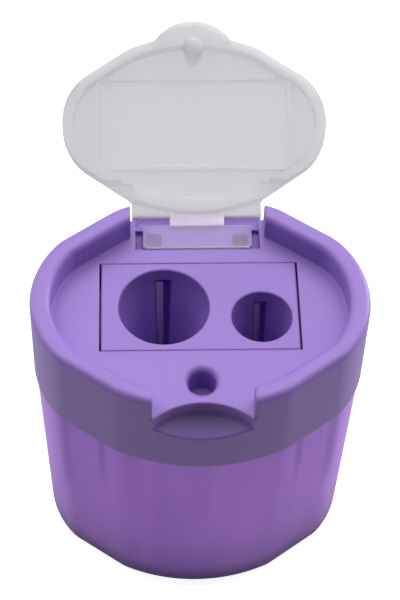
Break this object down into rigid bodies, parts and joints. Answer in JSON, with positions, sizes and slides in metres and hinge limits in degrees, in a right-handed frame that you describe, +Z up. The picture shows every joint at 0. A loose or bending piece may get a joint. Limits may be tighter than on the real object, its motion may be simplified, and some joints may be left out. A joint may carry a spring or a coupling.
{
  "type": "canister pencil sharpener",
  "caption": "Hand-held canister pencil sharpener: clear shavings receptacle, pull-off cap with a large and a small pencil hole, and a snap-shut flip lid on a living hinge.",
  "frame": {"origin": "on the base plane, under the middle of the plan outline", "axes": "+Z up, +Y towards the hinge, +X to the right seen from the thumb tab"},
  "size_m": [0.0446, 0.0639, 0.0555],
  "materials": {
    "receptacle_plastic": "translucent polished",
    "cap_plastic": "satin moulded",
    "block_plastic": "satin moulded",
    "lid_plastic": "milky translucent",
    "blade_steel": "ground",
    "screw_steel": "plated"
  },
  "bodies": {
    "receptacle": {"receptacle": "receptacle_plastic"},
    "cap": {"cap": "cap_plastic", "sharpener_block": "block_plastic", "blade_large": "blade_steel", "blade_small": "blade_steel", "blade_screws": "screw_steel", "hinge_leaf": "lid_plastic", "hinge_film": "lid_plastic"},
    "lid": {"lid": "lid_plastic"}
  },
  "joints": [
    {"name": "cap_pull", "type": "slide", "parent": "receptacle", "child": "cap", "axis": [0, 0, 1], "range_m": [0, 0.026]},
    {"name": "lid_hinge", "type": "hinge", "parent": "cap", "child": "lid", "pos_m": [0, 0.0155, 0.0466], "axis": [1, 0, 0], "range_deg": [0, 166], "deforming": ["hinge_film"]}
  ]
}
